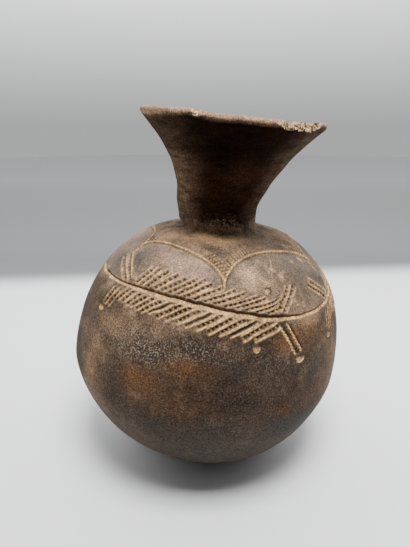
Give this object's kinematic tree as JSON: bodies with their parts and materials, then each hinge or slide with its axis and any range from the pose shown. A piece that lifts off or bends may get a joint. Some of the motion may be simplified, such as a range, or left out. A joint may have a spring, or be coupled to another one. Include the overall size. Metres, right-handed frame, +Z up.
{
  "type": "terracotta jar",
  "caption": "Hand-built round-bellied earthenware jar with a waisted flaring neck and a carved band of arches and crawling figures on the shoulder.",
  "frame": {"origin": "middle of the small flat under the body, on the surface that the jar stands on", "axes": "+Z up; the carved figure that faces the viewer looks along -Y; the body leans slightly towards +X"},
  "size_m": [0.2122, 0.2116, 0.2682],
  "materials": {
    "terracotta": "unglazed, smoked and partly burnished"
  },
  "bodies": {
    "root": {"jar": "terracotta"}
  },
  "joints": []
}
